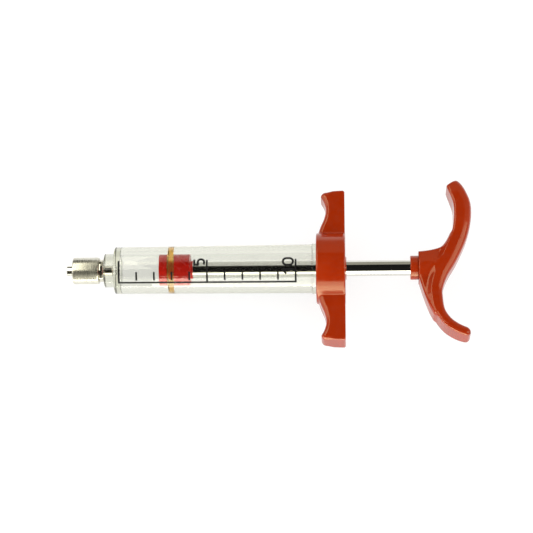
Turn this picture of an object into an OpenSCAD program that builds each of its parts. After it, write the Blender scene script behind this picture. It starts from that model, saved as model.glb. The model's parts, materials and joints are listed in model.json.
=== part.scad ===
// Reusable 10 ml Luer-lock syringe with a finger flange and an S-shaped palm handle.
// The barrel lies along X. X = 0 is the front end of the Luer tip, and the handle points to +X.
// The two finger wings and the handle's arms lie in the XY plane, and +Z is up.

/* [Luer tip] */
// Radius of the male Luer taper at its front end
luer_tip_r = 1.99; // [1.96:0.01:2.02]
// Radius of the fluid channel
channel_r = 1.0; // [0.6:0.05:1.1]
// How far the taper stands out of the lock collar
luer_stands_out = 2.6; // [1.5:0.1:3]
// Outer radius of the lock collar
collar_r = 5.5; // [5:0.1:6]
// Length of the lock collar
collar_len = 10.8; // [9:0.1:11]
// Radius of the polished neck behind the collar
neck_r = 4.6; // [4:0.05:4.8]
// Length of the neck, with its washer
neck_len = 2.2; // [2:0.1:3]

/* [Barrel] */
// Radius of the bore
bore_r = 6.65; // [6.5:0.01:6.8]
// Outer radius at the front
barrel_front_r = 9.6; // [9:0.1:10]
// Outer radius at the finger flange
barrel_rear_r = 10.0; // [9.7:0.05:10.2]
// Radius of the nose that holds the Luer tip
nose_r = 6.9; // [6.3:0.1:7.5]
// Length of the nose
nose_len = 4.4; // [4:0.1:5]
// Thickness of the barrel's front wall
front_wall = 2.4; // [2:0.1:3]

/* [Scale] */
// Number of millilitres on the scale
scale_ml = 10; // [5:1:10]
// Angle of the printed baseline from +Z, towards -Y
baseline_angle = 54; // [40:1:60]
// Angle that a long mark spans
long_mark_angle = 57; // [40:1:60]
// Angle that a short mark spans
short_mark_angle = 21; // [15:1:35]
// Width of a printed line
ink_w = 0.75; // [0.4:0.05:0.9]
// Height of a numeral
digit_h = 4.9; // [3.5:0.1:5.5]
// Width of a numeral
digit_w = 3.7; // [2.5:0.1:4.5]

/* [Plunger] */
// Volume drawn at rest, read at the seal
drawn_ml = 2.9; // [2.5:0.1:5]
// Radius of the piston
piston_r = 6.45; // [6.3:0.01:6.5]
// Length of the piston's red body
piston_len = 12.5; // [11:0.1:14]
// Thickness of the seal ring
seal_thick = 2.8; // [2.4:0.1:3]
// Radius of the rod
rod_r = 3.25; // [2.8:0.05:3.4]

/* [Finger flange] */
// Depth of the flange along the barrel
flange_len = 11.8; // [10:0.1:13]
// Radius of the round boss
boss_r = 14.5; // [13.5:0.1:15.5]
// Distance from the axis to a wing's end
wing_reach = 32.5; // [30:0.5:36]
// Thickness of the wings
wing_thick = 11; // [9:0.5:13]

/* [Palm handle] */
// Width of the handle's arms
arm_w = 12; // [10:0.5:14]
// Radius of the handle's hub
hub_r = 5.85; // [5.3:0.05:6]
// Turn of the handle about the rod, relative to the finger flange
handle_turn = 0; // [-20:1:20]

/* [Hidden] */
$fn = 96;
eps = 0.01;

// Bore area that makes one millilitre 7.2 mm long
ml_len = 1000 / (PI * bore_r * bore_r);

// Stations along X, from the tip to the handle
collar_x = luer_stands_out;
neck_x = collar_x + collar_len;
washer_len = 0.4;
nose_x = neck_x + neck_len;
barrel_x = nose_x + nose_len;
bore_x = barrel_x + front_wall;
zero_x = barrel_x + 2.3;
shoulder_x = zero_x + 10.9 * ml_len;
flange_x = shoulder_x + 1.75;
flange_wall = 3;
flange_end_x = flange_x + flange_len;
barrel_end_x = flange_end_x - flange_wall - 0.2;
seal_x = zero_x + drawn_ml * ml_len;
piston_x = seal_x - 4.75;
piston_end_x = piston_x + piston_len;
boss_len = 1.1;
rod_socket_x = piston_end_x - 2;
rod_x = rod_socket_x - 6;
ferrule_x = seal_x + 97.7;
ferrule_len = 3.3;
hub_x = ferrule_x + ferrule_len;
hub_len = 8;
rod_end_x = hub_x + 9;

// Fits and small sizes
slide_gap = 0.05;
rod_gap = 0.08;
thread_pitch = 2.5;
thread_depth = 0.45;
thread_start = 1;
thread_stop = 1.5;
spigot_len = 0.45;
ink_lift = 0.02;
ink_thick = 0.05;
luer_taper = 0.03;
luer_len = 9.6;
nozzle_root_r = 3.9;
stem_r = 2.0;
stem_end_x = nose_x + 3.6;
funnel_r = 1.3;
shoulder_r = barrel_rear_r + 0.3;
rod_hole_r = rod_r + rod_gap;
insert_r = 3.6;
rod_thread_r = 2.0;

module along_x() rotate([0, 90, 0]) children();

// Turns a profile of [radius, x] points about the X axis
module lathe(profile) along_x() rotate_extrude() polygon(profile);

module tube_x(r, x0, x1) translate([x0, 0, 0]) along_x() cylinder(r = r, h = x1 - x0);

// A smooth curve through a list of points, n steps between each two
function spline(p, n) = [
    for (i = [0 : len(p) - 2], k = [0 : n - 1])
        let (
            t = k / n,
            a = p[max(i - 1, 0)],
            b = p[i],
            c = p[i + 1],
            d = p[min(i + 2, len(p) - 1)]
        )
        0.5 * (2 * b + (c - a) * t + (2 * a - 5 * b + 4 * c - d) * t * t + (3 * b - a - 3 * c + d) * t * t * t),
    p[len(p) - 1]
];

// Outer radius of the drafted barrel
function barrel_r_at(x) =
    barrel_front_r + (barrel_rear_r - barrel_front_r) * (x - barrel_x) / (shoulder_x - barrel_x);

// ---------------------------------------------------------------- barrel and its fittings

module thread_rings(r, depth, x0, x1) {
    for (x = [x0 : thread_pitch : x1])
        lathe([[r - 1, x], [r, x], [r + depth, x + 0.5], [r + depth, x + 0.9], [r, x + 1.4], [r - 1, x + 1.4]]);
}

module barrel() {
    edge = 0.5;
    bore_edge = 0.6;
    color([0.86, 0.88, 0.84, 0.35])
    difference() {
        union() {
            lathe([
                [0, nose_x], [nose_r - edge, nose_x], [nose_r, nose_x + edge], [nose_r, barrel_x],
                [barrel_front_r - edge, barrel_x], [barrel_front_r, barrel_x + edge],
                [barrel_rear_r, shoulder_x], [shoulder_r, shoulder_x], [shoulder_r, flange_x + spigot_len],
                [barrel_rear_r, flange_x + spigot_len], [barrel_rear_r, barrel_end_x], [0, barrel_end_x]
            ]);
            thread_rings(barrel_rear_r, thread_depth, flange_x + thread_start, barrel_end_x - thread_stop);
        }
        lathe([
            [0, bore_x], [bore_r - bore_edge, bore_x], [bore_r, bore_x + bore_edge],
            [bore_r, barrel_end_x - 0.8], [bore_r + edge, barrel_end_x + eps], [0, barrel_end_x + eps]
        ]);
        tube_x(stem_r, nose_x - eps, stem_end_x);
        tube_x(funnel_r, stem_end_x - eps, bore_x + eps);
    }
}

// A wedge through the barrel's wall, between two places along X and two angles from +Z towards -Y
module ink_band(x0, x1, angle0, angle1) {
    inner = barrel_front_r - 2;
    outer = barrel_rear_r + 2;
    rotate([angle0, 0, 0]) rotate([0, 90, 0])
        rotate([0, 0, 180]) rotate_extrude(angle = angle1 - angle0)
            polygon([[inner, x0], [outer, x0], [outer, x1], [inner, x1]]);
}

// Numerals in millimetres, drawn with round strokes in a frame whose +Y is the top of the digit
stroke = 0.85;

module ring_2d(r) difference() {
    circle(r + stroke / 2);
    circle(r - stroke / 2);
}

module digit_0() {
    r = digit_w / 2 - stroke / 2;
    span = digit_h / 2 - digit_w / 2;
    for (s = [-1, 1]) {
        intersection() {
            translate([0, s * span]) ring_2d(r);
            translate([-digit_w, s > 0 ? span : -span - digit_w]) square([2 * digit_w, digit_w]);
        }
        translate([s * r - stroke / 2, -span - eps]) square([stroke, 2 * span + 2 * eps]);
    }
}

module digit_1() {
    translate([-stroke / 2, -digit_h / 2]) square([stroke, digit_h]);
    translate([-stroke / 2, digit_h / 2]) rotate(-140) square([digit_w * 0.6, stroke]);
}

module digit_5() {
    bowl_r = digit_w / 2 - stroke / 2 - 0.1;
    bowl_y = bowl_r + stroke / 2 - digit_h / 2;
    left = -0.75 * bowl_r - stroke / 2;
    stem_y = 0.2;
    translate([left, digit_h / 2 - stroke]) square([digit_w * 0.72, stroke]);
    translate([left, stem_y]) square([stroke, digit_h / 2 - stem_y]);
    difference() {
        translate([0, bowl_y]) ring_2d(bowl_r);
        translate([0, bowl_y]) rotate(140) square(digit_w);
    }
}

// Stands a digit on the barrel with its top towards the tip and its foot along a mark
module ink_digit(x, angle) {
    rotate([angle, 0, 0])
        translate([x, 0, barrel_r_at(x) - 2]) rotate([0, 0, 90]) linear_extrude(4) children();
}

module ink_shell() {
    x0 = zero_x - 2;
    x1 = shoulder_x;
    lathe([
        [barrel_r_at(x0) + ink_lift, x0], [barrel_r_at(x0) + ink_lift + ink_thick, x0],
        [barrel_r_at(x1) + ink_lift + ink_thick, x1], [barrel_r_at(x1) + ink_lift, x1]
    ]);
}

module graduation_print() {
    ink_angle = ink_w / barrel_front_r * 180 / PI;
    short_gap = 8;
    digit_gap = 3.1;
    digit_angle = 3;
    one_angle = 21;
    color([0.06, 0.06, 0.06])
    intersection() {
        ink_shell();
        union() {
            ink_band(zero_x - ink_w / 2, zero_x + scale_ml * ml_len + ink_w / 2,
                     baseline_angle - ink_angle, baseline_angle);
            for (ml = [0 : scale_ml]) {
                long = ml % 5 == 0;
                x = zero_x + ml * ml_len;
                top = long ? baseline_angle - long_mark_angle : baseline_angle - short_gap - short_mark_angle;
                foot = long ? baseline_angle - ink_angle / 2 : baseline_angle - short_gap;
                ink_band(x - ink_w / 2, x + ink_w / 2, top, foot);
            }
            ink_digit(zero_x + 5 * ml_len - digit_gap, digit_angle) digit_5();
            ink_digit(zero_x + 10 * ml_len - digit_gap, digit_angle) digit_0();
            ink_digit(zero_x + 10 * ml_len - digit_gap, one_angle) digit_1();
        }
    }
}

module luer_nozzle() {
    base_x = luer_len;
    base_r = luer_tip_r + luer_len * luer_taper;
    edge = 0.3;
    color([0.78, 0.76, 0.7])
    difference() {
        union() {
            lathe([
                [0, 0], [luer_tip_r - 0.15, 0], [luer_tip_r, 0.15], [base_r, base_x],
                [nozzle_root_r, base_x], [nozzle_root_r, neck_x],
                [neck_r - edge, neck_x], [neck_r, neck_x + edge],
                [neck_r, nose_x - washer_len - edge], [neck_r - edge, nose_x - washer_len],
                [stem_r, nose_x - washer_len], [stem_r, stem_end_x], [0, stem_end_x]
            ]);
        }
        tube_x(channel_r, -eps, stem_end_x + eps);
    }
}

module luer_lock_collar() {
    thread_r = 4;
    crest_r = 3.5;
    root = 0.4;
    edge = 0.6;
    color([0.75, 0.73, 0.68])
    difference() {
        lathe([
            [0, collar_x], [collar_r - edge, collar_x], [collar_r, collar_x + edge],
            [collar_r, neck_x - edge], [collar_r - edge, neck_x], [0, neck_x]
        ]);
        difference() {
            lathe([
                [0, collar_x - eps], [thread_r + root, collar_x - eps], [thread_r, collar_x + root],
                [thread_r, luer_len], [0, luer_len]
            ]);
            for (x = [collar_x + 1 : thread_pitch : luer_len - 1.5])
                lathe([
                    [crest_r, x + 0.3], [crest_r, x + 0.6], [thread_r + root, x + 1.1], [thread_r + root, x - 0.2]
                ]);
        }
        tube_x(nozzle_root_r, luer_len - eps, neck_x + eps);
    }
}

module nozzle_seal() {
    color([0.25, 0.24, 0.22])
    difference() {
        tube_x(neck_r - 0.25, nose_x - washer_len, nose_x);
        tube_x(stem_r, nose_x - 1, nose_x + 1);
    }
}

// ---------------------------------------------------------------- finger flange

// Half of the wings' outline in the XY plane, from the boss to the end of one wing
function wing_outline() =
    let (
        x = flange_x,
        y = wing_reach,
        hollow = spline([
            [x + 0.4, 12], [x + 1.7, 16.5], [x + 3.3, 20.5], [x + 4.0, 24.3], [x + 3.3, 27.6], [x + 2.1, 30.0]
        ], 5),
        horn_r = 2.3,
        horn_x = x + 1.95 + horn_r,
        horn_y = y - 0.35 - horn_r,
        horn = [for (a = [170 : -15 : 95]) [horn_x + horn_r * cos(a), horn_y + horn_r * sin(a)]]
    )
    concat([[x + 0.4, 0]], hollow, horn, [[flange_end_x - 0.6, y], [flange_end_x, y - 0.6], [flange_end_x, 0]]);

module finger_flange() {
    rim = 0.6;
    lip = 0.5;
    color([0.72, 0.2, 0.06])
    difference() {
        union() {
            for (s = [0, 1])
                mirror([0, s, 0])
                    translate([0, 0, -wing_thick / 2]) linear_extrude(wing_thick) polygon(wing_outline());
            lathe([
                [0, flange_x], [boss_r - rim, flange_x], [boss_r, flange_x + rim],
                [boss_r, flange_end_x - rim], [boss_r - rim, flange_end_x], [0, flange_end_x]
            ]);
            lathe([
                [0, flange_end_x - 1], [rod_r + 1.6, flange_end_x - 1], [rod_r + 1.3, flange_end_x + lip],
                [0, flange_end_x + lip]
            ]);
        }
        tube_x(rod_hole_r, flange_x - 1, flange_end_x + 2);
        tube_x(shoulder_r + slide_gap, flange_x - eps, flange_x + spigot_len + slide_gap);
        tube_x(barrel_rear_r + slide_gap, flange_x, barrel_end_x + 0.1);
        thread_rings(
            barrel_rear_r + slide_gap, thread_depth, flange_x + thread_start, barrel_end_x - thread_stop
        );
    }
}

// ---------------------------------------------------------------- plunger

module piston_seal() {
    ring_r = seal_thick / 2;
    color([0.85, 0.55, 0.12])
    translate([seal_x, 0, 0]) along_x() rotate_extrude()
        translate([bore_r - slide_gap - ring_r, 0]) circle(ring_r);
}

module piston() {
    edge = 0.3;
    groove_w = seal_thick + 4 * slide_gap;
    groove_r = bore_r - 2 * slide_gap - seal_thick;
    root_r = 3.85;
    color([0.7, 0.06, 0.03])
    difference() {
        lathe([
            [0, piston_x], [piston_r - edge, piston_x], [piston_r, piston_x + edge],
            [piston_r, seal_x - groove_w / 2], [groove_r, seal_x - groove_w / 2],
            [groove_r, seal_x + groove_w / 2], [piston_r, seal_x + groove_w / 2],
            [piston_r, piston_end_x - edge], [piston_r - edge, piston_end_x],
            [root_r, piston_end_x], [root_r - 0.2, piston_end_x + boss_len], [0, piston_end_x + boss_len]
        ]);
        tube_x(rod_thread_r, rod_x, rod_socket_x + eps);
        tube_x(rod_r, rod_socket_x, piston_end_x + boss_len + eps);
    }
}

module plunger_rod() {
    chamfer = 0.4;
    color([0.8, 0.8, 0.8])
    lathe([
        [0, rod_x], [rod_thread_r - chamfer, rod_x], [rod_thread_r, rod_x + chamfer],
        [rod_thread_r, rod_socket_x], [rod_r, rod_socket_x],
        [rod_r, hub_x], [rod_thread_r, hub_x], [rod_thread_r, rod_end_x - chamfer],
        [rod_thread_r - chamfer, rod_end_x], [0, rod_end_x]
    ]);
}

module handle_collar() {
    r = 4.95;
    edge = 0.25;
    color([0.72, 0.2, 0.06])
    difference() {
        lathe([[0, ferrule_x], [r - edge, ferrule_x], [r, ferrule_x + edge], [r, hub_x], [0, hub_x]]);
        tube_x(rod_r, ferrule_x - 1, hub_x + 1);
    }
}

module handle_insert() {
    groove = 0.3;
    color([0.8, 0.65, 0.3])
    difference() {
        lathe([
            [0, hub_x], [insert_r, hub_x], [insert_r, hub_x + 3], [insert_r - groove, hub_x + 3.3],
            [insert_r - groove, hub_x + 4.7], [insert_r, hub_x + 5],
            [insert_r, hub_x + hub_len], [0, hub_x + hub_len]
        ]);
        tube_x(rod_thread_r, hub_x - 1, hub_x + hub_len + 1);
    }
}

// Stations of the S-shaped arm: x from the hub's face, y across, thickness
arm_stations = [
    [14.3, 36.3, 5.4], [15.7, 34.0, 6.6], [17.1, 31.0, 7.1], [18.4, 26.9, 7.4], [18.5, 21.7, 7.2],
    [17.8, 16.5, 6.8], [16.2, 10.9, 6.4], [12.7, 3.0, 6.0], [9.2, -3.6, 5.4], [7.2, -10.0, 4.8],
    [7.2, -14.4, 4.6], [8.15, -20.0, 4.2], [11.1, -24.6, 4.0], [15.0, -27.5, 3.9], [18.4, -28.9, 3.9],
    [20.4, -29.2, 2.6]
];

// One cross-section of the arm: flat towards the rod, round towards the palm
function arm_ring(c, dir, thick, width, n) = [
    for (k = [0 : n - 1])
        let (
            a = 360 * k / n,
            u = cos(a),
            v = sin(a),
            power = u > 0 ? 0.9 : 0.45,
            across = sign(u) * pow(abs(u), power) * thick / 2,
            deep = sign(v) * pow(abs(v), 0.75) * width / 2
        )
        [c[0] + across * dir[1], c[1] - across * dir[0], deep]
];

module arm() {
    n = 20;
    path = spline(arm_stations, 3);
    last = len(path) - 1;
    rings = [
        for (i = [0 : last])
            let (
                a = path[max(i - 1, 0)],
                b = path[min(i + 1, last)],
                along = [b[0] - a[0], b[1] - a[1]],
                dir = -along / norm(along),
                end_w = min(1, 0.72 + 0.14 * min(i, last - i))
            )
            each arm_ring(path[i], dir, path[i][2], arm_w * end_w, n)
    ];
    sides = [
        for (i = [0 : last - 1], k = [0 : n - 1])
            let (k1 = (k + 1) % n)
            each [
                [i * n + k, (i + 1) * n + k1, i * n + k1],
                [i * n + k, (i + 1) * n + k, (i + 1) * n + k1]
            ]
    ];
    ends = [[for (k = [0 : n - 1]) k], [for (k = [n - 1 : -1 : 0]) last * n + k]];
    translate([hub_x, 0, 0]) polyhedron(rings, concat(sides, ends));
}

// Outline of the web between the hub and the arm, in the XY plane
function web_outline() = concat(
    spline([[0, 5.7], [5.0, 6.4], [9.1, 7.6], [11.4, 9.6], [13.6, 12.8]], 3),
    [[15.5, 10.0], [12.0, 3.0], [9.0, -3.4], [7.2, -10.4], [7.2, -14.4], [8.15, -20.0]],
    spline([[6.1, -20.9], [4.4, -18.3], [3.0, -15.2], [1.9, -12.0], [0.9, -8.6], [0, -5.4]], 2)
);

module palm_handle() {
    web_w = 9.6;
    color([0.74, 0.2, 0.06])
    rotate([handle_turn, 0, 0])
    difference() {
        union() {
            arm();
            translate([hub_x, 0, -web_w / 2]) linear_extrude(web_w) polygon(web_outline());
            tube_x(hub_r, hub_x, hub_x + hub_len);
        }
        tube_x(insert_r, hub_x - eps, hub_x + hub_len);
        tube_x(rod_thread_r, hub_x, rod_end_x + 0.2);
    }
}

barrel();
graduation_print();
luer_nozzle();
luer_lock_collar();
nozzle_seal();
finger_flange();
piston_seal();
piston();
plunger_rod();
handle_collar();
handle_insert();
palm_handle();
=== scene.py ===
# Looks of a reusable 10 ml Luer-lock syringe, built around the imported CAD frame.
import json
import math

import bpy
import numpy as np
from mathutils import Matrix, Vector

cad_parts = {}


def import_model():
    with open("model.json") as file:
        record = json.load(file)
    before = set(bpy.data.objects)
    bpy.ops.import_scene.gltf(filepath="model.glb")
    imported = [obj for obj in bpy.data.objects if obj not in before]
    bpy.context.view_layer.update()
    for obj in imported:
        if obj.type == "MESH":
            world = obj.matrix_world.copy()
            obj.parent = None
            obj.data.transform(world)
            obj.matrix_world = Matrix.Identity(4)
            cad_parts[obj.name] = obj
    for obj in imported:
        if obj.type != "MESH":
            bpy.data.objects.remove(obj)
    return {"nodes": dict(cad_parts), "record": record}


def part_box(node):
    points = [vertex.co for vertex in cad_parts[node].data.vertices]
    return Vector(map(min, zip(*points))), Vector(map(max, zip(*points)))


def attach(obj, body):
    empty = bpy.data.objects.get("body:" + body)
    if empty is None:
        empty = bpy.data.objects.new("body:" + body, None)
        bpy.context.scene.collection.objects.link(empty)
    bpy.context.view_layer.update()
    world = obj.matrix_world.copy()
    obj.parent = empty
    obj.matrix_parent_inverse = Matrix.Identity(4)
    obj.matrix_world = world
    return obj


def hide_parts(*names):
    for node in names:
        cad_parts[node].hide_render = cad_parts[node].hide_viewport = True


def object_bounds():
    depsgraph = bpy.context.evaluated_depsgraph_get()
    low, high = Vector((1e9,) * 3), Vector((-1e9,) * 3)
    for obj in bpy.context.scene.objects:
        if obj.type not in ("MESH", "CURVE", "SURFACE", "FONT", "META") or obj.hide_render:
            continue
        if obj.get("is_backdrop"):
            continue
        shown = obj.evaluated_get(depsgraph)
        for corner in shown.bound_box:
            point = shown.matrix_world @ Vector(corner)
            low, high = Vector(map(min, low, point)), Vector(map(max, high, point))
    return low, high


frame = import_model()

CAD_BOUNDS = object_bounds()
MM = 0.001

# ---------------------------------------------------------------- places from the frame, in millimetres


def span(node):
    """(start along X, end along X, largest radius) of a CAD node, in millimetres."""
    lo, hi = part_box(node)
    return lo.x / MM, hi.x / MM, hi.y / MM


BARREL_X0, BARREL_X1, BARREL_R = span("barrel")
NOZZLE_X0, STEM_X1, NECK_R = span("luer_nozzle")
COLLAR_X0, COLLAR_X1, COLLAR_R = span("luer_lock_collar")
WASHER_X0, WASHER_X1, WASHER_R = span("nozzle_seal")
FLANGE_X0, FLANGE_RING_X1, WING_Y = span("finger_flange")
SEAL_X0, SEAL_X1, SEAL_R = span("piston_seal")
PISTON_X0, PISTON_X1, PISTON_R = span("piston")
ROD_X0, ROD_X1, ROD_R = span("plunger_rod")
GRIP_X0, GRIP_X1, GRIP_R = span("handle_collar")
HUB_X = span("palm_handle")[0]
BOSS_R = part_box("finger_flange")[1].z / MM
SEAL_X = (SEAL_X0 + SEAL_X1) / 2
SLIDE_GAP = 0.05  # between the CAD's seal ring and the bore
BORE_R = SEAL_R + SLIDE_GAP
MOUNTS = {m["name"]: m for m in frame["record"]["mounts"]}
CHANNEL_R = MOUNTS["luer_channel"]["dims"]["r_mm"]
FLANGE_X1 = MOUNTS["flange_rear"]["pos_m"][0] / MM
STEM_R = 2.0  # the nozzle's stem in the nose, and the rod's spigots

# ---------------------------------------------------------------- mesh helpers


def new_object(name, points_mm, faces, smooth_angle=35):
    mesh = bpy.data.meshes.new(name)
    mesh.from_pydata([tuple(MM * c for c in p) for p in points_mm], [], faces)
    mesh.validate()
    mesh.polygons.foreach_set("use_smooth", [True] * len(mesh.polygons))
    mesh.set_sharp_from_angle(angle=math.radians(smooth_angle))
    obj = bpy.data.objects.new(name, mesh)
    bpy.context.scene.collection.objects.link(obj)
    return obj


def fillet(profile, steps=5):
    """Rounds the corners of a closed outline. Each point is (x, r) or (x, r, corner radius)."""
    out = []
    count = len(profile)
    for i, point in enumerate(profile):
        here = np.array(point[:2], float)
        radius = point[2] if len(point) > 2 else 0
        if not radius:
            out.append(tuple(here))
            continue
        before = np.array(profile[i - 1][:2], float) - here
        after = np.array(profile[(i + 1) % count][:2], float) - here
        a, b = before / np.linalg.norm(before), after / np.linalg.norm(after)
        half = math.acos(np.clip(a @ b, -1, 1)) / 2
        reach = radius / math.tan(half)
        centre = here + (a + b) / np.linalg.norm(a + b) * radius / math.sin(half)
        start, end = here + a * reach - centre, here + b * reach - centre
        for k in range(steps + 1):
            t = k / steps
            spoke = start * (1 - t) + end * t
            out.append(tuple(centre + spoke / np.linalg.norm(spoke) * radius))
    return out


def lathe(name, profile, segments=128):
    """Turns a closed outline of (x, r) points about the X axis. Points on the axis become one vertex."""
    outline = fillet(profile)
    points, rows = [], []
    for x, r in outline:
        if r < 1e-6:
            rows.append([len(points)] * segments)
            points.append((x, 0, 0))
            continue
        rows.append(list(range(len(points), len(points) + segments)))
        for k in range(segments):
            a = 2 * math.pi * k / segments
            points.append((x, r * math.cos(a), r * math.sin(a)))
    faces = []
    for i, row in enumerate(rows):
        following = rows[(i + 1) % len(rows)]
        if row[0] == row[1] and following[0] == following[1]:
            continue
        for k in range(segments):
            k1 = (k + 1) % segments
            corners = [row[k], following[k], following[k1], row[k1]]
            faces.append([c for n, c in enumerate(corners) if c not in corners[:n]])
    obj = new_object(name, points, faces)
    outward(obj)
    return obj


def outward(obj):
    """Makes a closed mesh's normals point out."""
    mesh = obj.data
    co = np.empty(len(mesh.vertices) * 3)
    mesh.vertices.foreach_get("co", co)
    co = co.reshape(-1, 3)
    mesh.calc_loop_triangles()
    tri = np.empty(len(mesh.loop_triangles) * 3, np.int32)
    mesh.loop_triangles.foreach_get("vertices", tri)
    a, b, c = (co[tri.reshape(-1, 3)[:, k]] for k in range(3))
    if np.einsum("ij,ij->i", a, np.cross(b, c)).sum() < 0:
        mesh.flip_normals()


def surface(name, field, low, high, step):
    """A closed mesh where field(x, y, z) is zero, kept between low and high, in millimetres.

    It has one vertex in each cell of the grid that the surface crosses.
    """
    margin = 4 * step
    axes = [np.arange(low[k] - margin, high[k] + margin + step, step) for k in range(3)]
    grid = np.meshgrid(*axes, indexing="ij")
    value = field(*grid)
    inside = value < 0
    corner_sum = np.zeros([len(a) - 1 for a in axes], np.int32)
    shifts = [(i, j, k) for i in (0, 1) for j in (0, 1) for k in (0, 1)]
    size = np.array(corner_sum.shape)

    def shifted(array, s):
        return array[s[0]:s[0] + size[0], s[1]:s[1] + size[1], s[2]:s[2] + size[2]]

    for s in shifts:
        corner_sum += shifted(inside, s)
    active = (corner_sum > 0) & (corner_sum < 8)
    index = np.full(active.shape, -1)
    index[active] = np.arange(active.sum())
    place = np.argwhere(active)
    total = np.zeros((len(place), 3))
    hits = np.zeros(len(place))
    for s in shifts:
        for axis in range(3):
            if s[axis]:
                continue
            e = list(s)
            e[axis] = 1
            a, b = shifted(value, s)[active], shifted(value, e)[active]
            crosses = (a < 0) != (b < 0)
            t = np.where(crosses, a / np.where(crosses, a - b, 1), 0)
            where = np.array(s, float) + t[:, None] * (np.array(e) - np.array(s))
            total += where * crosses[:, None]
            hits += crosses
    points = (place + total / hits[:, None]) * step + np.array([a[0] for a in axes])
    for _ in range(2):
        points = to_zero(field, points, step)
    points = np.clip(points, low, high)
    faces = []
    for axis in range(3):
        u, v = (axis + 1) % 3, (axis + 2) % 3
        a = np.moveaxis(inside, axis, 0)[:-1]
        b = np.moveaxis(inside, axis, 0)[1:]
        edges = np.moveaxis(a != b, 0, axis)
        starts = np.argwhere(edges)
        starts = starts[(starts[:, u] > 0) & (starts[:, v] > 0)]
        starts = starts[(starts < size).all(1)]
        away = inside[tuple(starts.T)]
        ring = []
        for du, dv in ((0, 0), (1, 0), (1, 1), (0, 1)):
            cell = starts.copy()
            cell[:, u] -= du
            cell[:, v] -= dv
            ring.append(index[tuple(cell.T)])
        quads = np.stack(ring, 1)
        quads[~away] = quads[~away][:, ::-1]
        faces.append(quads)
    return new_object(name, points, np.concatenate(faces).tolist(), smooth_angle=50)


def to_zero(field, points, step):
    """Moves points along the field's slope onto its zero surface, by at most half a step."""
    h = 0.02
    at = field(*points.T)
    nudges = h * np.eye(3)
    slope = np.stack([(field(*(points + n).T) - field(*(points - n).T)) / (2 * h) for n in nudges], 1)
    move = -at[:, None] * slope / np.maximum((slope ** 2).sum(1), 0.25)[:, None]
    length = np.linalg.norm(move, axis=1, keepdims=True)
    return points + move * np.minimum(1, 0.5 * step / np.maximum(length, 1e-9))


# ---------------------------------------------------------------- fields for moulded shapes


def round_max(a, b, r):
    """Where both a and b are inside, with the edge between them rounded to radius r."""
    return np.minimum(np.maximum(a, b), -r) + np.hypot(np.maximum(a + r, 0), np.maximum(b + r, 0))


def round_min(a, b, r):
    """a and b joined, with a hollow fillet of radius r between them."""
    return -round_max(-a, -b, r)


def outline_field(x, y, outline):
    """Signed distance from a closed 2D outline, negative inside."""
    best = np.full(x.shape, 1e9)
    inside = np.zeros(x.shape, bool)
    for (ax, ay), (bx, by) in zip(outline, outline[1:] + outline[:1]):
        ex, ey = bx - ax, by - ay
        t = np.clip(((x - ax) * ex + (y - ay) * ey) / (ex * ex + ey * ey), 0, 1)
        best = np.minimum(best, np.hypot(x - ax - t * ex, y - ay - t * ey))
        crosses = (ay > y) != (by > y)
        inside ^= crosses & (x < ax + (y - ay) / (ey if ey else 1e-12) * ex)
    return np.where(inside, -best, best)


def spline(points, steps):
    """A smooth curve through points, as in the CAD source."""
    p = [np.array(q, float) for q in points]
    out = []
    for i in range(len(p) - 1):
        a, b, c, d = p[max(i - 1, 0)], p[i], p[i + 1], p[min(i + 2, len(p) - 1)]
        for k in range(steps):
            t = k / steps
            out.append(0.5 * (2 * b + (c - a) * t + (2 * a - 5 * b + 4 * c - d) * t ** 2
                              + (3 * b - a - 3 * c + d) * t ** 3))
    out.append(p[-1])
    return np.array(out)


# ---------------------------------------------------------------- pieces: barrel end


def barrel():
    front_r = BARREL_R - 0.85
    rear_r = BARREL_R - 0.45
    shoulder_r = BARREL_R - 0.15
    nose_r = 6.9
    nose_end = BARREL_X0 + 4.4
    funnel_r = 1.3
    bore_x = nose_end + 2.4
    shoulder_x = FLANGE_X0 - 1.75
    spigot_x = FLANGE_X0 + 0.44
    obj = lathe("clear_barrel", [
        (BARREL_X0, STEM_R), (BARREL_X0, nose_r, 0.3), (nose_end, nose_r, 0.3), (nose_end, front_r, 0.25),
        (shoulder_x, rear_r), (shoulder_x, shoulder_r, 0.12), (spigot_x, shoulder_r, 0.12),
        (spigot_x, rear_r), (BARREL_X1, rear_r, 0.3), (BARREL_X1, BORE_R, 0.5),
        (bore_x, BORE_R, 0.35), (bore_x, funnel_r, 0.3), (STEM_X1, funnel_r), (STEM_X1, STEM_R),
    ], segments=192)
    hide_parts("barrel")
    return finish_piece(obj, "syringe_body", CLEAR)


def luer_nozzle():
    tip_r = 1.99
    taper = 0.03
    base_x = 9.6
    base_r = tip_r + base_x * taper
    press_r = 3.88
    obj = lathe("nickel_nozzle", [
        (NOZZLE_X0, CHANNEL_R, 0.15), (NOZZLE_X0, tip_r, 0.2), (base_x, base_r, 0.2), (base_x, press_r),
        (COLLAR_X1, press_r), (COLLAR_X1 + 0.02, NECK_R, 0.35), (WASHER_X0, NECK_R, 0.35),
        (WASHER_X0, STEM_R), (STEM_X1, STEM_R, 0.3), (STEM_X1, CHANNEL_R),
    ])
    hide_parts("luer_nozzle")
    return finish_piece(obj, "syringe_body", POLISHED_NICKEL)


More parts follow.
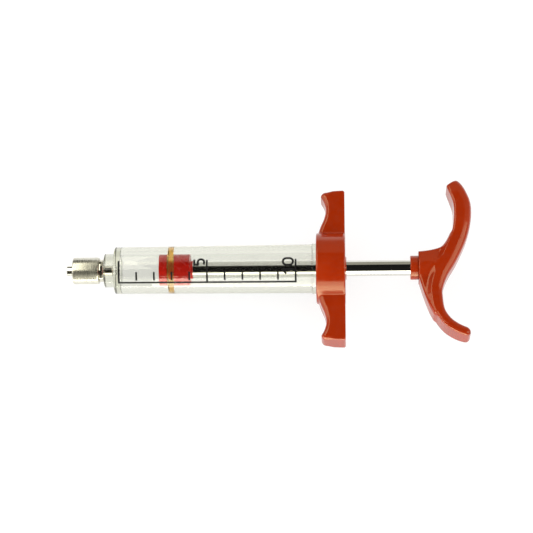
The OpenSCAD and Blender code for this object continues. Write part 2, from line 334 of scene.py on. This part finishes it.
def luer_lock_collar():
    bore_end = 9.6
    press_r, thread_r, mouth_r = 3.9, 4.0, 4.2
    obj = lathe("turned_collar", [
        (COLLAR_X0, mouth_r, 0.15), (COLLAR_X0, COLLAR_R, 0.55), (COLLAR_X1, COLLAR_R, 0.6),
        (COLLAR_X1, press_r), (bore_end, press_r), (bore_end, thread_r), (COLLAR_X0 + 0.3, thread_r),
    ])
    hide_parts("luer_lock_collar")
    finish_piece(obj, "syringe_body", TURNED_NICKEL)
    for name, start in (("lock_thread_a", 0), ("lock_thread_b", math.pi)):
        ridge = helix_ridge(name, start)
        finish_piece(ridge, "syringe_body", TURNED_NICKEL)


def helix_ridge(name, start, pitch=5.0, turns=1.1, steps=90):
    """One start of the lock thread: a ridge on the collar's inner wall that runs out at both ends."""
    root_r, height = 4.05, 0.5
    points, faces = [], []
    for i in range(steps + 1):
        a = start + 2 * math.pi * turns * i / steps
        x = COLLAR_X0 + 0.9 + pitch * turns * i / steps
        fade = min(1, 8 * i / steps, 8 * (steps - i) / steps)
        tip = root_r - height * fade
        for dx, r in ((-0.55, root_r), (-0.2, tip), (0.2, tip), (0.55, root_r)):
            points.append((x + dx, r * math.cos(a), r * math.sin(a)))
    for i in range(steps):
        for k in range(4):
            k1 = (k + 1) % 4
            faces.append([4 * i + k, 4 * i + k1, 4 * i + 4 + k1, 4 * i + 4 + k])
    faces += [[3, 2, 1, 0], [4 * steps + k for k in range(4)]]
    obj = new_object(name, points, faces)
    outward(obj)
    return obj


def nozzle_seal():
    obj = lathe("nozzle_washer", [
        (WASHER_X0, STEM_R), (WASHER_X0, WASHER_R, 0.12), (WASHER_X1, WASHER_R, 0.12), (WASHER_X1, STEM_R),
    ])
    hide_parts("nozzle_seal")
    return finish_piece(obj, "syringe_body", WASHER)


# ---------------------------------------------------------------- pieces: finger flange

WING_HALF = 5.5


def wing_outline():
    x, end = FLANGE_X0, FLANGE_X1
    hollow = spline([
        (x + 0.4, 12), (x + 1.7, 16.5), (x + 3.3, 20.5), (x + 4.0, 24.3), (x + 3.3, 27.6), (x + 2.1, 30.0),
    ], 6)
    horn_r = 2.3
    horn = [
        (x + 1.95 + horn_r * (1 + math.cos(a)), WING_Y - 0.35 - horn_r * (1 - math.sin(a)))
        for a in np.radians(np.arange(170, 90, -10))
    ]
    return [(x + 0.4, -1), *map(tuple, hollow), *horn, (end - 0.6, WING_Y), (end, WING_Y - 0.6), (end, -1)]


def flange_field(x, y, z):
    radial = np.hypot(y, z)
    rear_edge, front_edge = 0.5, 2.0
    depth = np.clip((x - FLANGE_X0 - 4.0) / 3.5, 0, 1)
    edge = front_edge + (rear_edge - front_edge) * depth * depth * (3 - 2 * depth)
    wings = round_max(outline_field(x, np.abs(y), wing_outline()), np.abs(z) - WING_HALF, edge)
    boss = round_max(radial - BOSS_R, np.maximum(FLANGE_X0 - x, x - FLANGE_X1), 0.7)
    ring = round_max(radial - ROD_R - 1.5, x - FLANGE_RING_X1, 0.25)
    ring = np.maximum(ring, FLANGE_X1 - 1 - x)
    solid = round_min(round_min(boss, wings, 0.5), ring, 0.3)
    socket_r = np.where(x < FLANGE_X0 + 0.5, BARREL_R - 0.1, BARREL_R - 0.4)
    socket = np.maximum(radial - socket_r, x - (BARREL_X1 + 0.15))
    hole = radial - ROD_R - 0.08
    return np.maximum(solid, -np.minimum(socket, hole))


def finger_flange():
    obj = surface("orange_flange", flange_field,
                  (FLANGE_X0, -WING_Y, -BOSS_R), (FLANGE_RING_X1, WING_Y, BOSS_R), 0.3)
    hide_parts("finger_flange")
    return finish_piece(obj, "syringe_body", ORANGE)


# ---------------------------------------------------------------- pieces: plunger


def piston():
    groove_r, groove_half = BORE_R - 3.0, 1.5
    hub_r, hub_len = 3.85, 1.1
    body_end = PISTON_X1 - hub_len
    socket_r, spigot_r = ROD_R + 0.01, STEM_R + 0.01
    obj = lathe("red_piston", [
        (PISTON_X0, 0), (PISTON_X0, PISTON_R, 0.3), (SEAL_X - groove_half, PISTON_R, 0.12),
        (SEAL_X - groove_half, groove_r), (SEAL_X + groove_half, groove_r),
        (SEAL_X + groove_half, PISTON_R, 0.12), (body_end, PISTON_R, 0.3), (body_end, hub_r, 0.3),
        (PISTON_X1, hub_r - 0.2, 0.3), (PISTON_X1, socket_r), (body_end - 2, socket_r),
        (body_end - 2, spigot_r), (ROD_X0 - 0.1, spigot_r), (ROD_X0 - 0.1, 0),
    ])
    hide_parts("piston")
    return finish_piece(obj, "plunger", RED)


def piston_seal():
    """The ring as it is squeezed: pressed flat against the barrel's wall, a little into it."""
    half = (SEAL_X1 - SEAL_X0) / 2
    touch = BORE_R + 0.03
    obj = lathe("amber_seal", [
        (SEAL_X - half, touch - 2 * half, 0.9), (SEAL_X - half, touch, 0.35),
        (SEAL_X + half, touch, 0.35), (SEAL_X + half, touch - 2 * half, 0.9),
    ], segments=160)
    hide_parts("piston_seal")
    return finish_piece(obj, "seal_ring", AMBER)


def plunger_rod():
    body_start = PISTON_X1 - 3.1
    obj = lathe("chrome_rod", [
        (ROD_X0, 0), (ROD_X0, STEM_R, 0.3), (body_start, STEM_R), (body_start, ROD_R),
        (HUB_X, ROD_R), (HUB_X, STEM_R), (ROD_X1, STEM_R, 0.3), (ROD_X1, 0),
    ])
    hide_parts("plunger_rod")
    return finish_piece(obj, "plunger", CHROME)


def handle_collar():
    hole_r = ROD_R + 0.01
    end = GRIP_X1 - 0.02
    obj = lathe("orange_ferrule", [
        (GRIP_X0, hole_r), (GRIP_X0, GRIP_R, 0.3), (end, GRIP_R, 0.2), (end, hole_r),
    ])
    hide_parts("handle_collar")
    return finish_piece(obj, "plunger", ORANGE)


# Places on the handle are (distance behind the hub's front, y). ARM has the arm's thickness as a third value.
ARM = [
    (14.3, 36.2, 5.6), (15.7, 34.0, 6.6), (17.1, 31.0, 7.1), (18.4, 26.9, 7.4), (18.5, 21.7, 7.2),
    (17.8, 16.5, 6.8), (16.2, 10.9, 6.4), (12.7, 3.0, 6.0), (9.2, -3.6, 5.4), (7.2, -10.0, 4.8),
    (7.2, -14.4, 4.6), (8.15, -20.0, 4.2), (11.1, -24.6, 4.0), (15.0, -27.5, 3.9), (18.4, -28.9, 3.9),
    (20.3, -29.2, 3.7),
]
ARM_HALF_W = 6
END_TAPER, END_TAPER_LEN = 1.3, 2.5  # how much the arm narrows along Z towards its ends
UPPER_END_R, LOWER_END_R = 0.9, 1.8
ARM_FILLET, HUB_FILLET = 2.5, 1.5
WEB_HALF_W = 4.6
HUB_R, HUB_LEN = 5.85, 9
INSERT_R, INSERT_LEN = 3.6, 8
WEB = [
    *map(tuple, spline([(0, 5.7), (5.0, 6.4), (9.1, 7.6), (11.4, 9.6), (13.6, 12.8)], 3)),
    (15.5, 10.0), (12.0, 3.0), (9.0, -3.4), (7.2, -10.4), (7.2, -14.4), (8.15, -20.0),
    *map(tuple, spline([(6.1, -20.9), (4.4, -18.3), (3.0, -15.2), (1.9, -12.0), (0.9, -8.6), (0, -5.4)], 2)),
]


def beyond(px, y, end, inner):
    """How far a point lies past one end of the arm, negative before it."""
    out = end[:2] - inner[:2]
    out = out / np.hypot(*out)
    return (px - end[0]) * out[0] + (y - end[1]) * out[1]


def handle_field(x, y, z):
    path = spline(ARM, 3)
    longer = np.vstack([2 * path[0] - path[1], path, 2 * path[-1] - path[-2]])
    longer[0, 2], longer[-1, 2] = path[0, 2], path[-1, 2]
    px = x - HUB_X
    best = np.full(x.shape, 1e9)
    across = np.zeros(x.shape)
    thick = np.ones(x.shape)
    for a, b in zip(longer, longer[1:]):
        e = b[:2] - a[:2]
        length = np.hypot(*e)
        t = np.clip(((px - a[0]) * e[0] + (y - a[1]) * e[1]) / length ** 2, 0, 1)
        dx, dy = px - a[0] - t * e[0], y - a[1] - t * e[1]
        d = np.hypot(dx, dy)
        nearer = d < best
        best = np.where(nearer, d, best)
        side = np.sign(dx * -e[1] + dy * e[0])
        across = np.where(nearer, side * d, across)
        thick = np.where(nearer, a[2] + t * (b[2] - a[2]), thick)
    half = thick / 2
    upper, lower = beyond(px, y, path[0], path[1]), beyond(px, y, path[-1], path[-2])
    end = np.maximum(upper, lower)
    deep = np.abs(z) - ARM_HALF_W + END_TAPER * np.exp(np.minimum(end, 0) / END_TAPER_LEN)
    arm = round_max(across - half, deep, 0.55 * thick)
    arm = round_max(arm, -across - half, 1.1)
    arm = round_max(round_max(arm, upper, UPPER_END_R), lower, LOWER_END_R)
    web = round_max(outline_field(px, y, WEB), np.abs(z) - WEB_HALF_W, 1.2)
    hub = round_max(np.hypot(y, z) - HUB_R, np.maximum(-px, px - HUB_LEN), 0.4)
    body = round_min(round_min(arm, web, ARM_FILLET), hub, HUB_FILLET)
    body = np.maximum(body, -px)
    socket = np.maximum(np.hypot(y, z) - INSERT_R, px - INSERT_LEN)
    return np.maximum(body, -socket)


def palm_handle():
    low, high = (tuple(c / MM for c in corner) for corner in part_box("palm_handle"))
    obj = surface("orange_handle", handle_field, low, high, 0.3)
    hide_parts("palm_handle")
    return finish_piece(obj, "plunger", ORANGE)


# ---------------------------------------------------------------- materials


def finish_piece(obj, body, material):
    obj.data.materials.clear()
    obj.data.materials.append(material)
    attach(obj, body)
    return obj


class Nodes:
    """A short way to build a material's node tree."""

    def __init__(self, name):
        self.material = bpy.data.materials.new(name)
        self.material.use_nodes = True
        self.tree = self.material.node_tree
        self.shader = self.tree.nodes["Principled BSDF"]

    def add(self, kind, **inputs):
        node = self.tree.nodes.new(kind)
        for key, value in inputs.items():
            if hasattr(node, key):
                setattr(node, key, value)
            else:
                self.plug(value, node.inputs[key.replace("_", " ")])
        return node

    def plug(self, value, socket):
        if isinstance(value, bpy.types.NodeSocket):
            self.tree.links.new(value, socket)
        else:
            socket.default_value = value

    def set(self, **inputs):
        for key, value in inputs.items():
            self.plug(value, self.shader.inputs[key.replace("_", " ")])

    def position(self, stretch=(1, 1, 1)):
        """The object's own coordinates, in millimetres, stretched."""
        place = self.add("ShaderNodeTexCoord")
        scaled = self.add("ShaderNodeMapping")
        self.plug(place.outputs["Object"], scaled.inputs["Vector"])
        scaled.inputs["Scale"].default_value = [s / MM for s in stretch]
        return scaled.outputs["Vector"]

    def noise(self, scale, stretch=(1, 1, 1), detail=3):
        """Noise with that many features per millimetre."""
        node = self.add("ShaderNodeTexNoise", Scale=scale, Detail=detail)
        self.plug(self.position(stretch), node.inputs["Vector"])
        return node.outputs["Fac"]

    def ramp(self, fac, low, high, from_low=0.3, from_high=0.7):
        """Turns fac into a number between low and high."""
        node = self.add("ShaderNodeMapRange")
        for key, value in (("Value", fac), ("From Min", from_low), ("From Max", from_high),
                           ("To Min", low), ("To Max", high)):
            self.plug(value, node.inputs[key])
        return node.outputs["Result"]

    def mix(self, fac, a, b):
        node = self.add("ShaderNodeMix")
        node.data_type = "RGBA"
        self.plug(fac, node.inputs[0])
        self.plug((*a, 1), node.inputs[6])
        self.plug((*b, 1), node.inputs[7])
        return node.outputs[2]

    def bump(self, height, strength, distance_mm):
        node = self.add("ShaderNodeBump", Strength=strength, Distance=distance_mm * MM, Height=height)
        return node.outputs["Normal"]


def moulded(name, dark, light, rough, peel=0.25):
    n = Nodes(name)
    n.set(Base_Color=n.mix(n.ramp(n.noise(0.08), 0, 1), dark, light))
    n.set(Roughness=n.ramp(n.noise(0.5, detail=5), rough - 0.05, rough + 0.07))
    n.set(Normal=n.bump(n.noise(0.9, detail=4), peel, 0.02))
    n.set(IOR=1.5)
    return n


def orange_plastic():
    n = moulded("orange_nylon", (0.3, 0.018, 0.0006), (0.34, 0.022, 0.0008), 0.14, peel=0.12)
    n.set(Specular_Tint=(1, 0.97, 0.66, 1))
    return n.material


def red_plastic():
    return moulded("red_acetal", (0.78, 0.01, 0.003), (0.88, 0.016, 0.005), 0.24).material


def amber_rubber():
    n = moulded("amber_silicone", (0.93, 0.5, 0.09), (0.96, 0.58, 0.14), 0.12)
    n.set(Transmission_Weight=0.88, IOR=1.43)
    return n.material


def washer_fibre():
    return moulded("washer_fibre", (0.08, 0.07, 0.06), (0.12, 0.11, 0.1), 0.6, peel=0.6).material


def metal(name, dark, light, rough, groove, groove_stretch, groove_scale):
    """Plated metal with fine tool marks: groove_stretch is long across the marks."""
    n = Nodes(name)
    n.set(Metallic=1.0)
    n.set(Base_Color=n.mix(n.ramp(n.noise(0.6, detail=6), 0, 1), dark, light))
    marks = n.noise(groove_scale, groove_stretch, detail=2)
    n.set(Roughness=n.ramp(marks, rough * 0.8, rough * 1.25))
    n.set(Normal=n.bump(marks, groove, 0.01))
    return n.material


def chrome():
    return metal("chrome_plate", (0.72, 0.715, 0.66), (0.78, 0.775, 0.72), 0.06, 0.03, (0.2, 6, 6), 1.0)


def polished_nickel():
    return metal("polished_nickel", (0.66, 0.64, 0.54), (0.76, 0.74, 0.64), 0.1, 0.15, (8, 0.3, 0.3), 1.0)


def turned_nickel():
    return metal("turned_nickel", (0.62, 0.605, 0.52), (0.76, 0.745, 0.65), 0.28, 0.6, (9, 0.25, 0.25), 1.0)


def brass():
    return metal("brass", (0.55, 0.38, 0.12), (0.7, 0.5, 0.18), 0.3, 0.3, (6, 0.3, 0.3), 1.0)


def clear_plastic():
    n = Nodes("clear_acrylic")
    n.set(Base_Color=n.mix(n.ramp(n.noise(0.1), 0, 1), (0.918, 0.92, 0.912), (0.938, 0.94, 0.932)))
    n.set(Roughness=n.ramp(n.noise(0.4, detail=4), 0.0, 0.03))
    n.set(Normal=n.bump(n.noise(0.15, (0.3, 1, 1)), 0.01, 0.05))
    n.set(Transmission_Weight=1.0, IOR=1.49)
    depth = n.add("ShaderNodeVolumeAbsorption", Color=(0.56, 0.575, 0.3, 1), Density=42.0)
    n.plug(depth.outputs["Volume"], n.tree.nodes["Material Output"].inputs["Volume"])
    return n.material


def black_ink():
    n = moulded("black_ink", (0.006, 0.006, 0.007), (0.012, 0.012, 0.012), 0.6)
    n.set(Specular_IOR_Level=0.12)
    return n.material


ORANGE = orange_plastic()
RED = red_plastic()
AMBER = amber_rubber()
WASHER = washer_fibre()
CHROME = chrome()
POLISHED_NICKEL = polished_nickel()
TURNED_NICKEL = turned_nickel()
CLEAR = clear_plastic()
INK = black_ink()
BRASS = brass()


def paint_node(node, material):
    for slot in frame["nodes"][node].material_slots:
        slot.material = material


# ---------------------------------------------------------------- camera, floor and light

VIEW_TILT = math.radians(21)
VIEW_TURN = math.radians(2.43)
VIEW_ROLL = math.radians(0.56)
VIEW_DISTANCE = 0.76
LENS = 125.2
VIEW_CENTRE = (0.0821, 0.0011)


def photo_axes():
    """The photograph's up direction and the direction to the camera, at right angles to the barrel."""
    up = Vector((0, math.cos(VIEW_TILT), math.sin(VIEW_TILT)))
    back = Vector((0, -math.sin(VIEW_TILT), math.cos(VIEW_TILT)))
    return up, back


def camera():
    up, back = photo_axes()
    along = Vector((1, 0, 0))
    target = along * VIEW_CENTRE[0] + up * VIEW_CENTRE[1]
    turn = Matrix.Rotation(VIEW_TURN, 3, up)
    right, out = turn @ along, turn @ back
    roll = Matrix.Rotation(-VIEW_ROLL, 3, out)
    right, top = roll @ right, roll @ up
    facing = Matrix((right, top, out)).transposed().to_4x4()
    data = bpy.data.cameras.new("camera")
    data.lens = LENS
    data.sensor_width = 36
    data.clip_start, data.clip_end = 0.01, 20
    obj = bpy.data.objects.new("camera", data)
    obj.matrix_world = Matrix.Translation(target + out * VIEW_DISTANCE) @ facing
    bpy.context.scene.collection.objects.link(obj)
    bpy.context.scene.camera = obj


def floor():
    reach = 3.0
    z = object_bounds()[0].z - 0.0001
    corners = [(x, y, z) for x, y in ((-reach, -reach), (reach, -reach), (reach, reach), (-reach, reach))]
    mesh = bpy.data.meshes.new("floor")
    mesh.from_pydata(corners, [], [(0, 1, 2, 3)])
    obj = bpy.data.objects.new("floor", mesh)
    bpy.context.scene.collection.objects.link(obj)
    n = Nodes("pale_floor")
    n.set(Roughness=0.9, Emission_Color=(1, 1, 1, 1), Emission_Strength=0.83)
    n.set(Base_Color=n.mix(n.ramp(n.noise(0.02), 0, 1), (0.2, 0.2, 0.2), (0.21, 0.21, 0.21)))
    mesh.materials.append(n.material)
    obj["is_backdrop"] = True


def softbox(name, place, aim, size, strength):
    data = bpy.data.lights.new(name, "AREA")
    data.shape = "RECTANGLE"
    data.size, data.size_y = size
    data.energy = strength * math.pi * size[0] * size[1]
    data.color = (1, 0.97, 0.85)
    obj = bpy.data.objects.new(name, data)
    direction = Vector(aim) - Vector(place)
    obj.matrix_world = Matrix.Translation(place) @ direction.to_track_quat("-Z", "Y").to_matrix().to_4x4()
    bpy.context.scene.collection.objects.link(obj)


def world():
    w = bpy.data.worlds.new("studio")
    bpy.context.scene.world = w
    w.use_nodes = True
    back = w.node_tree.nodes["Background"]
    back.inputs["Strength"].default_value = 1.0
    back.inputs["Color"].default_value = (0.9, 0.9, 0.9, 1)


def card(name, corners, glow, through=False):
    """A studio card, black or glowing, seen only in reflections. through: also in those inside the barrel."""
    mesh = bpy.data.meshes.new(name)
    mesh.from_pydata(corners, [], [(0, 1, 2, 3)])
    obj = bpy.data.objects.new(name, mesh)
    bpy.context.scene.collection.objects.link(obj)
    n = Nodes(name)
    n.set(Base_Color=(0.01, 0.01, 0.01, 1), Roughness=0.9, Specular_IOR_Level=0.0)
    n.set(Emission_Color=(1, 0.97, 0.82, 1), Emission_Strength=glow)
    mesh.materials.append(n.material)
    obj.visible_camera = False
    obj.visible_diffuse = False
    obj.visible_transmission = through
    obj.visible_shadow = False
    obj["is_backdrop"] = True


def arc_card(name, start, end, x0, x1, reach, glow, through=False):
    """A card between two angles about the barrel: 0 is at the camera and 90 is low in front."""
    up, back = photo_axes()
    a, b = (
        reach * (math.cos(t) * back - math.sin(t) * up) for t in (math.radians(start), math.radians(end))
    )
    card(name, [Vector((x, 0, 0)) + p for x, p in ((x0, a), (x1, a), (x1, b), (x0, b))], glow, through)


def cards():
    """Each arc_card has its angles in degrees, its ends along X and its distance in metres, and its glow."""
    arc_card("dark_ceiling", -53, 44, -0.35, 0.3, 1.3, 0, through=True)
    arc_card("dark_ceiling_left", -53, 44, -1.0, -0.35, 1.3, 0)
    arc_card("dark_ceiling_right", -53, 44, 0.3, 1.2, 1.3, 0)
    arc_card("dim_back", -104, -53, -1.2, 1.4, 1.3, 0.36)
    arc_card("tip_light", -72, 3, -0.75, -0.14, 0.95, 3)
    arc_card("tip_back", -112, -78, -1.1, -0.1, 1.0, 0.04)
    arc_card("tip_shade", 14, 94, -0.3, 0.025, 0.08, 0.02)
    arc_card("front_glow", 57, 74, -0.3, 0.45, 0.6, 6)
    for name, x in (("dim_left", -1.3), ("dim_right", 1.5)):
        card(name, [(x, y, z) for y, z in ((-1.5, 0), (1.5, 0), (1.5, 1.6), (-1.5, 1.6))], 0.3)
    z = CAD_BOUNDS[0].z + 0.0003
    for name, x0, x1, y0, y1, glow in (
        ("lit_table", -0.4, 0.2, -0.5, -0.053, 8),
        ("dim_table", 0.2, 1.5, -1.5, 1.5, 0.3),
    ):
        card(name, [(x0, y0, z), (x1, y0, z), (x1, y1, z), (x0, y1, z)], glow)


def build():
    barrel()
    luer_nozzle()
    luer_lock_collar()
    nozzle_seal()
    finger_flange()
    piston()
    piston_seal()
    plunger_rod()
    handle_collar()
    palm_handle()
    paint_node("graduation_print", INK)
    paint_node("handle_insert", BRASS)
    camera()
    floor()
    world()
    cards()
    softbox("front_box", (-0.05, -0.9, 0.2), (0, 0, 0), (1.1, 0.5), 3)
    softbox("left_box", (-0.8, 0, 0.4), (0.05, 0, 0), (0.5, 0.9), 2)
    softbox("right_box", (1.0, 0, 0.4), (0.12, 0, 0), (0.5, 0.9), 2)
    bpy.context.scene.view_settings.view_transform = "Standard"


build()
